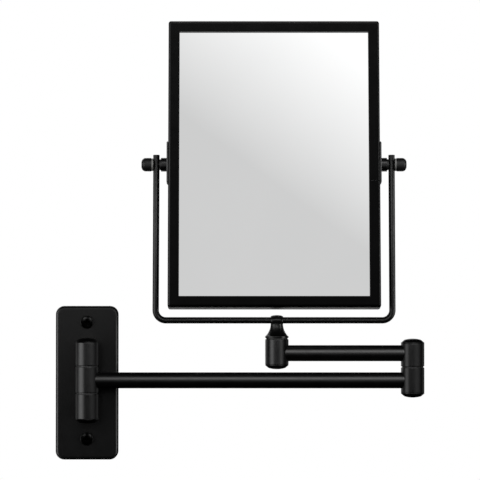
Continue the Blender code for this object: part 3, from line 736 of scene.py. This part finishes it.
def pivot_washer(node, place, inward, outward):
    """A flat ring with soft edges, which fills the room beside it by these amounts."""
    low, high = box_in(node, place)
    start, end = low.x - inward, high.x + outward
    corners = [(WASHER_BORE, start), (high.y, start), (high.y, end), (WASHER_BORE, end)]
    outline = filleted([(*corner, SOFT_EDGE / 2) for corner in corners])
    piece(node, turned(outline, along="X"), place)


def swivel_stem():
    """Collar, flare, neck and the saddle on top, drilled for the rod."""
    place = upright("head_swivel")
    low, high = box_in("swivel_stem", place)
    radius = high.y
    collar = low.z + COLLAR_HEIGHT
    flare_radius = radius - BARREL_EDGE
    corners = [
        (0, low.z + FLARE_HEIGHT, 0),
        (BORE_RADIUS, low.z + FLARE_HEIGHT, 0),
        (BORE_RADIUS, low.z + REGISTER_RISE + SLIP, 0),
        *register(low.z, 1),
        (radius, low.z, BARREL_EDGE),
        (radius, collar, BARREL_EDGE),
    ]
    for step in range(1, FLARE_STEPS + 1):
        rise = step / FLARE_STEPS
        width = NECK_RADIUS + (flare_radius - NECK_RADIUS) * (1 - rise) ** 2
        corners.append((width, collar + FLARE_HEIGHT * rise, 0))
    rod_low, rod_high = box_in("yoke_rod", place)
    crossbar = rod_low.z + rod_high.y
    saddle_radius = high.z - crossbar
    shoulder = crossbar - NECK_DROP
    for angle in (math.radians(10 * step) for step in range(10)):
        corners.append((NECK_RADIUS * math.cos(angle), shoulder + NECK_DROP * math.sin(angle), 0))
    corners[-1] = (0, crossbar, 0)
    bulge = [(-NECK_RADIUS, 0)]
    for angle in (math.radians(10 * step - 90) for step in range(19)):
        reach = ROD_HOLE + (saddle_radius - ROD_HOLE) * math.cos(angle)
        bulge.append((NECK_RADIUS * math.sin(angle), reach))
    bulge.append((NECK_RADIUS, 0))
    saddle = moved(turned([(r, x) for x, r in bulge], False, SMALL_SIDES, "X"), z=crossbar)
    hole = moved(rod(ROD_HOLE - ROD_GRIP, -radius, radius, "X", SMALL_SIDES), z=crossbar)
    stem = carved(turned(filleted(corners, False), False), *join(saddle), *cut(hole))
    piece("swivel_stem", stem, place)


def yoke_rod():
    """One round rod bent to a U, with softened ends, drilled for the tilt pivots."""
    place = upright("head_swivel")
    low, high = box_in("yoke_rod", place)
    radius = high.y
    middle = (low.x + high.x) / 2
    bottom = (high.x - low.x) / 2 - radius
    crossbar = low.z + radius
    bend = arc(BEND_RADIUS - bottom, crossbar + BEND_RADIUS, BEND_RADIUS, 180, 270, BEND_STEPS)
    left = [(LEG_LEAN - bottom, high.z, radius - ROD_END_EDGE)]
    for angle in (30, 60, 90):
        drop = ROD_END_EDGE * (1 - math.cos(math.radians(angle)))
        grow = radius - ROD_END_EDGE * (1 - math.sin(math.radians(angle)))
        left.append((LEG_LEAN - bottom, high.z - drop, grow))
    left += [(x, z, radius) for x, z in bend]
    line = left + [(-x, z, r) for x, z, r in reversed(left)]
    rings = []
    for i, (x, z, reach) in enumerate(line):
        before = line[max(i - 1, 0)]
        after = line[min(i + 1, len(line) - 1)]
        heading = math.atan2(after[1] - before[1], after[0] - before[0])
        ring = []
        for side in range(SMALL_SIDES):
            turn = 2 * math.pi * side / SMALL_SIDES
            out = reach * math.cos(turn)
            across = reach * math.sin(turn)
            ring.append((middle + x - out * math.sin(heading), across, z + out * math.cos(heading)))
        rings.append(ring)
    pivot = axis_at["mirror_tilt"].z
    holes = moved(rod(STUD_FIT, 2 * low.x, 2 * high.x, "X", SMALL_SIDES), z=pivot)
    piece("yoke_rod", carved(loft(rings), *cut(holes)), place)


def mirror_frame(place):
    """One channel bent round the glass, its ends meeting in the right rail."""
    low, high = box_in("mirror_frame", place)
    front = high.y
    lip = front - LIP_THICK
    section = filleted(
        [
            (RAIL, -lip, RAIL_INNER_EDGE / 2),
            (RAIL, -front, RAIL_INNER_EDGE),
            (0, -front, RAIL_EDGE),
            (0, front, RAIL_EDGE),
            (RAIL, front, RAIL_INNER_EDGE),
            (RAIL, lip, RAIL_INNER_EDGE / 2),
            (RAIL_WALL, lip, RAIL_INNER_EDGE),
            (RAIL_WALL, -lip, RAIL_INNER_EDGE),
        ]
    )
    channel = slab(high.x, high.z, FRAME_CORNER, section, closed=True)
    seam_low = (high.x - 2 * RAIL, 2 * low.y, FRAME_JOINT_Z - FRAME_JOINT_GAP / 2)
    seam_high = (high.x + RAIL, 2 * high.y, FRAME_JOINT_Z + FRAME_JOINT_GAP / 2)
    seam = block(seam_low, seam_high)
    holes = rod(STUD_HOLE, 2 * low.x, 2 * high.x, "X", SMALL_SIDES)
    piece("mirror_frame", carved(channel, *cut(seam, holes)), place)


def front_glass(place):
    """A flat pane with polished edges."""
    low, high = box_in("front_glass", place)
    inner = high.x / 2
    edge = FRONT_GLASS_EDGE
    section = [(inner, low.y, 0), (0, low.y, edge), (0, high.y, edge), (inner, high.y, 0)]
    section = filleted(section, False)[1:-1]
    piece("front_glass", slab(high.x, high.z, SOFT_EDGE * 2, section), place)


def rear_glass(place):
    """The magnifying glass: a flat rim, slumped smoothly towards the middle of the frame."""
    high = box_in("rear_glass", place)[1]
    bm = bmesh.new()
    sheets = []
    for depth in (high.y, high.y - REAR_GLASS_THICK):
        sheet = []
        for row in range(GLASS_ROWS + 1):
            v = 2 * row / GLASS_ROWS - 1
            line = []
            for column in range(GLASS_COLUMNS + 1):
                u = 2 * column / GLASS_COLUMNS - 1
                sag = REAR_GLASS_SAG * (1 - u * u) * (1 - v * v)
                line.append(bm.verts.new((u * high.x, depth - sag, v * high.z)))
            sheet.append(line)
        sheets.append(sheet)
    for sheet in sheets:
        for row in range(GLASS_ROWS):
            for column in range(GLASS_COLUMNS):
                near = sheet[row][column], sheet[row][column + 1]
                bm.faces.new((*near, sheet[row + 1][column + 1], sheet[row + 1][column]))
    rims = [rim_of(sheet) for sheet in sheets]
    for i, (outer, inner) in enumerate(zip(*rims)):
        bm.faces.new((outer, rims[0][i - 1], rims[1][i - 1], inner))
    piece("rear_glass", finished(bm), place)


def rim_of(sheet):
    """A sheet's outer vertices in order."""
    rim = list(sheet[0])
    rim += [row[-1] for row in sheet[1:]]
    rim += list(reversed(sheet[-1][:-1]))
    rim += [row[0] for row in reversed(sheet[1:-1])]
    return rim


def pivot_bracket(side, place):
    """A chamfered plate on the frame's side with a turned boss, bored for the stud."""
    node = "pivot_bracket_" + side
    low, high = box_in(node, place)
    plate_end = low.x + BRACKET_THICK
    half_y = high.y
    half_z = (high.z - low.z) / 2
    middle = (high.z + low.z) / 2
    rings = []
    chamfer = [
        (0, low.x, 0),
        (0, low.x + SOFT_EDGE, SOFT_EDGE),
        (BRACKET_CHAMFER, plate_end, SOFT_EDGE),
        (half_y, plate_end, 0),
    ]
    for inset, x in filleted(chamfer, False)[:-1]:
        outline = rounded_rectangle(half_y - inset / 2, half_z - inset, SOFT_EDGE * 2, (0, middle))
        rings.append([(x, y, z) for y, z in outline])
    start = low.x + SOFT_EDGE
    boss = [(0, start, 0), (BOSS_RADIUS, start, 0), (BOSS_RADIUS, high.x, BOSS_EDGE), (0, high.x, 0)]
    boss = turned(filleted(boss, False), False, along="X")
    bore = rod(STUD_HOLE, low.x - PAST, high.x + PAST, "X", SMALL_SIDES)
    piece(node, carved(loft(rings), *join(boss), *cut(bore)), place)


def knob(side, place):
    """A domed thumb nut with a blind bore."""
    node = "knob_" + side
    low, high = box_in(node, place)
    radius = high.y
    start = low.x - WASHER_ROOM
    corners = [
        (0, low.x + KNOB_BORE, 0),
        (STUD_HOLE, low.x + KNOB_BORE, 0),
        (STUD_HOLE, start, SOFT_EDGE),
        (radius, start, BARREL_EDGE),
    ]
    dome = arc(high.x - KNOB_EDGE, radius - KNOB_EDGE, KNOB_EDGE, 90, 2, DOME_STEPS)
    outline = filleted([*corners, (radius, high.x - KNOB_EDGE, 0)], False)
    outline += [(r, x) for x, r in dome[1:]]
    outline.append((0, high.x))
    piece(node, turned(outline, False, along="X"), place, textured_paint)


def build_pieces():
    """Every fine mesh, and the CAD nodes inside the object in their own materials."""
    wall_plate()
    wall_bracket()
    for node in ("wall_screw_top", "wall_screw_bottom"):
        screw(node, math.radians(90), **WALL_SCREW)
    for node in ("bracket_screw_upper", "bracket_screw_lower"):
        screw(node, math.radians(-90), **BRACKET_SCREW)
    end_cap("wall_cap_top", "wall_hinge", "wall_bracket", 1)
    end_cap("wall_cap_bottom", "wall_hinge", "wall_bracket", -1)
    end_cap("elbow_cap_top", "elbow_hinge", "elbow_upper_knuckle", 1)
    end_cap("elbow_cap_bottom", "elbow_hinge", "elbow_lower_knuckle", -1)
    end_cap("swivel_cap", "head_swivel", "swivel_knuckle", -1)
    knuckle("wall_hub", "wall_hinge", "lower_tube", 1)
    knuckle("elbow_lower_knuckle", "elbow_hinge", "lower_tube", -1, ELBOW_COUNTERBORE)
    knuckle("elbow_upper_knuckle", "elbow_hinge", "upper_tube", -1, -ELBOW_HEAD_DEPTH)
    knuckle("swivel_knuckle", "head_swivel", "upper_tube", 1, SWIVEL_COUNTERBORE)
    tube("lower_tube")
    tube("upper_tube")
    bearing_washer("wall_washer_upper", "wall_hinge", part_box("wall_hub")[1].z)
    bearing_washer("wall_washer_lower", "wall_hinge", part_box("wall_hub")[0].z)
    bearing_washer("elbow_washer", "elbow_hinge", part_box("elbow_lower_knuckle")[1].z)
    bearing_washer("swivel_washer", "head_swivel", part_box("swivel_knuckle")[1].z)
    swivel_stem()
    yoke_rod()
    faces = nodes["front_glass"].data.polygons
    face = max(faces, key=lambda polygon: -polygon.normal.y * polygon.area)
    tilt = -math.atan2(face.normal.z, -face.normal.y)
    pivot = Matrix.Translation(axis_at["mirror_tilt"])
    head = pivot @ Matrix.Rotation(tilt, 4, "X")
    mirror_frame(head)
    front_glass(head)
    rear_glass(head)
    for side, about_face in (("right", 0), ("left", math.pi)):
        turn = Matrix.Rotation(about_face, 4, "Z")
        pivot_bracket(side, head @ turn)
        pivot_washer("inner_washer_" + side, head @ turn, WASHER_ROOM, WASHER_ROOM)
        pivot_washer("outer_washer_" + side, pivot @ turn, WASHER_ROOM, 0)
        knob(side, head @ turn)
    for node, obj in nodes.items():
        if not obj.hide_render:
            obj.data.materials.clear()
            obj.data.materials.append(materials[slot_of[node]])


# ---------------------------------------------------------------- studio


def stage_object(name, mesh, tone, strength, at):
    """Part of the studio: a surface that glows in this tone of grey."""
    obj = bpy.data.objects.new(name, mesh)
    bpy.context.scene.collection.objects.link(obj)
    obj.location = at
    grey = (tone, tone, tone, 1.0)
    surface = Finish(name, Base_Color=grey, Roughness=0.9, Emission_Color=grey, Emission_Strength=strength)
    mesh.materials.append(surface.material)
    return obj, surface


def only_glowing(surface):
    """Takes a surface's own colour away, so that only its glow is seen."""
    surface.shader.inputs["Base Color"].default_value = (0, 0, 0, 1)
    surface.shader.inputs["Specular IOR Level"].default_value = 0


def ball(radius):
    """A sphere that faces inward."""
    bm = bmesh.new()
    bmesh.ops.create_uvsphere(bm, u_segments=64, v_segments=32, radius=radius)
    bmesh.ops.reverse_faces(bm, faces=bm.faces)
    mesh = bpy.data.meshes.new("ball")
    bm.to_mesh(mesh)
    bm.free()
    mesh.shade_smooth()
    return mesh


def shown_to(obj, camera=False, glossy=False):
    """Keeps a studio surface out of the rays that it isn't for."""
    obj.visible_camera = camera
    obj.visible_glossy = glossy
    obj.visible_diffuse = False
    obj.visible_transmission = False
    obj.visible_shadow = False
    obj.visible_volume_scatter = False


def surroundings(centre, glasses):
    """White backdrop for the camera, pale floor, and the bright room that the mirrors reflect."""
    backdrop, surface = stage_object("backdrop", ball(BACKDROP_RADIUS), 1.0, 1.0, centre)
    only_glowing(surface)
    shown_to(backdrop, camera=True)

    bm = bmesh.new()
    bmesh.ops.create_circle(bm, cap_ends=True, segments=128, radius=FLOOR_RADIUS)
    disc = bpy.data.meshes.new("disc")
    bm.to_mesh(disc)
    bm.free()
    ground = (centre.x, centre.y, cad_box[0].z - FLOOR_DROP)
    floor, _ = stage_object("floor", disc, FLOOR_TONE, FLOOR_GLOW, ground)
    shown_to(floor, camera=True)

    room, surface = stage_object("room", ball(ROOM_RADIUS), 1.0, 1.0, centre)
    only_glowing(surface)
    direction = surface.node("ShaderNodeVectorMath", Vector=surface.place)
    direction.operation = "NORMALIZE"
    slope = surface.node("ShaderNodeVectorMath")
    slope.operation = "DOT_PRODUCT"
    surface.feed(slope.inputs[0], direction.outputs["Vector"])
    surface.feed(slope.inputs[1], ROOM_SLOPE)
    glow = surface.span(slope.outputs["Value"], *ROOM_GLOW, *ROOM_SLOPE_SPAN)
    surface.feed(surface.shader.inputs["Emission Strength"], glow)
    shown_to(room, glossy=True)
    linked(room, glasses)


def linked(light, receivers):
    """light only lights these receivers."""
    light.light_linking.receiver_collection = receivers


def lamp(name, azimuth, elevation, distance, size, radiance, target, receivers):
    """A soft box that faces the target. Azimuth 0 is in front of it and 90 on its right."""
    data = bpy.data.lights.new(name, "AREA")
    data.shape = "RECTANGLE"
    data.size, data.size_y = size
    data.energy = radiance * math.pi * size[0] * size[1]
    obj = bpy.data.objects.new(name, data)
    bpy.context.scene.collection.objects.link(obj)
    turn, rise = math.radians(azimuth), math.radians(elevation)
    away = Vector((math.sin(turn) * math.cos(rise), -math.cos(turn) * math.cos(rise), math.sin(rise)))
    obj.location = target + away * distance
    obj.rotation_mode = "QUATERNION"
    obj.rotation_quaternion = away.to_track_quat("Z", "Y")
    linked(obj, receivers)


def soft_box(name, azimuth, elevation, distance, spread, radiance, target, receivers):
    """A lamp and a smaller one behind it, so that the light fades towards its edges. spread is in degrees."""
    for part, share in (("_wide", 1.0), ("_core", CORE)):
        behind = distance + (BEHIND if share < 1 else 0)
        size = [2 * behind * math.tan(math.radians(share * angle / 2)) for angle in spread]
        lamp(name + part, azimuth, elevation, behind, size, radiance / 2, target, receivers)


def light_group(node):
    """The name of the group whose lamps light this node."""
    if "_glass" in node:
        return "glasses"
    if node == "wall_plate":
        return "plate"
    if nodes[node]["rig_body"] in ("wall_base", "long_arm", "short_arm"):
        if node.startswith("wall_screw"):
            return "screws"
        if node.startswith("wall_cap"):
            return "tubes"
        return {"swivel": "swivel", "elbow": "elbow", "wall": "barrels"}.get(node.split("_")[0], "tubes")
    if node == "mirror_frame":
        return "frame"
    return "rod" if node in ("yoke_rod", "swivel_stem") else "knobs"


# Groups of pieces that share lamps, and the groups in each
FAMILIES = {
    "glasses": (),
    "plate": (),
    "screws": (),
    "arms": ("barrels", "swivel", "elbow", "tubes"),
    "head": ("frame", "rod", "knobs"),
}

# Group, name, azimuth, elevation, distance, spread and radiance
SOFT_BOXES = (
    ("arms", "key", 14, 29, 0.55, (78, 36), 4.9),
    ("tubes", "low", 14, 4, 1.0, (60, 36), 0.45),
    ("screws", "left", -46, 44, 0.8, (30, 30), 3.4),
    ("screws", "right", 46, 44, 0.8, (30, 30), 3.4),
    ("arms", "back_left", -120, 0, 1.2, (40, 60), 0.4),
    ("arms", "back_right", 125, 0, 1.2, (40, 60), 0.3),
    ("barrels", "glint_left", -120, 58, 1.2, (36, 36), 1.8),
    ("barrels", "glint_right", 120, 58, 1.2, (36, 36), 1.8),
    ("arms", "front", 0, 2, 1.0, (44, 30), 0.08),
    ("barrels", "left", -62, 0, 1.0, (56, 60), 3.9),
    ("barrels", "right", 58, 0, 1.0, (72, 60), 0.55),
    ("swivel", "left", -50, 0, 1.0, (44, 60), 3.8),
    ("swivel", "right", 46, 0, 1.0, (36, 60), 1.6),
    ("elbow", "left", -60, 0, 1.0, (46, 60), 2.5),
    ("elbow", "right", 50, 0, 1.0, (60, 60), 0.65),
    ("plate", "key", 14, 29, 0.45, (78, 36), 1.35),
    ("plate", "left", -32, 20, 0.45, (24, 40), 0.9),
    ("plate", "right", 32, 20, 0.45, (24, 40), 0.9),
    ("plate", "far_left", -66, 0, 1.0, (30, 60), 7.0),
    ("plate", "far_right", 66, 0, 1.0, (30, 60), 6.0),
    ("rod", "key", 0, 18, 1.0, (60, 8), 8.0),
    ("rod", "left", -62, 5, 1.0, (60, 50), 3.0),
    ("rod", "right", 70, 5, 1.0, (18, 50), 8.0),
    ("knobs", "key", 20, 36, 1.0, (60, 26), 4.6),
    ("knobs", "front", 10, 0, 1.0, (70, 60), 0.9),
    ("knobs", "left", -62, 5, 1.0, (60, 50), 3.4),
    ("knobs", "right", 70, 5, 1.0, (18, 50), 8.0),
    ("frame", "top", 0, 56, 1.0, (60, 40), 1.5),
    ("frame", "front", 0, 17, 1.0, (60, 34), 0.11),
    ("frame", "left", -62, 5, 1.0, (60, 50), 2.2),
    ("frame", "right", 70, 5, 1.0, (18, 50), 4.0),
    ("head", "below", 180, -35, 0.9, (50, 26), 1.2),
    ("head", "back_left", -150, 0, 1.2, (18, 40), 0.8),
    ("head", "back_right", 145, 0, 1.2, (18, 40), 0.8),
    ("head", "rear", 200, 34, 1.0, (60, 30), 1.6),
    ("arms", "rear", 200, 12, 1.0, (60, 30), 1.6),
    ("plate", "rear", 200, 34, 1.0, (60, 30), 2.4),
)


def light_groups():
    """A collection for each group, with every piece of the object in the one that lights it."""
    groups = {}
    for family, members in FAMILIES.items():
        for name in (family, *members):
            groups[name] = bpy.data.collections.new(name)
        for name in members:
            groups[family].children.link(groups[name])
    for obj in [obj for obj in bpy.context.scene.objects if obj.type == "MESH"]:
        groups[light_group(obj.name.removesuffix("_fine"))].objects.link(obj)
    return groups


def studio():
    """Surroundings, lamps and a faint glow from all round."""
    groups = light_groups()
    middle = axis_at["mirror_tilt"]
    hinges = (axis_at["wall_hinge"] + axis_at["elbow_hinge"]) / 2
    surroundings(middle, groups["glasses"])
    for group, name, azimuth, elevation, distance, spread, radiance in SOFT_BOXES:
        target = middle if group in ("head", "frame", "knobs") else hinges
        name = group + "_" + name
        soft_box(name, azimuth, elevation, distance, spread, radiance, target, groups[group])
    world = bpy.data.worlds.new("studio")
    world.use_nodes = True
    background = world.node_tree.nodes["Background"]
    background.inputs["Color"].default_value = (1, 1, 1, 1)
    background.inputs["Strength"].default_value = WORLD_GLOW
    bpy.context.scene.world = world
    bpy.context.scene.view_settings.view_transform = "Standard"


def camera():
    """A little above the arms, and tipped up to the picture's middle, where 360 mm fill its width."""
    data = bpy.data.cameras.new("camera")
    data.sensor_width = SENSOR
    data.lens = LENS
    obj = bpy.data.objects.new("camera", data)
    bpy.context.scene.collection.objects.link(obj)
    obj.location = (VIEW_X, axis_at["wall_hinge"].y - VIEW_DISTANCE, EYE_HEIGHT)
    obj.rotation_euler = (math.radians(90) + math.atan2(AIM_RISE, VIEW_DISTANCE), 0, 0)
    bpy.context.scene.camera = obj


build_pieces()
studio()
camera()
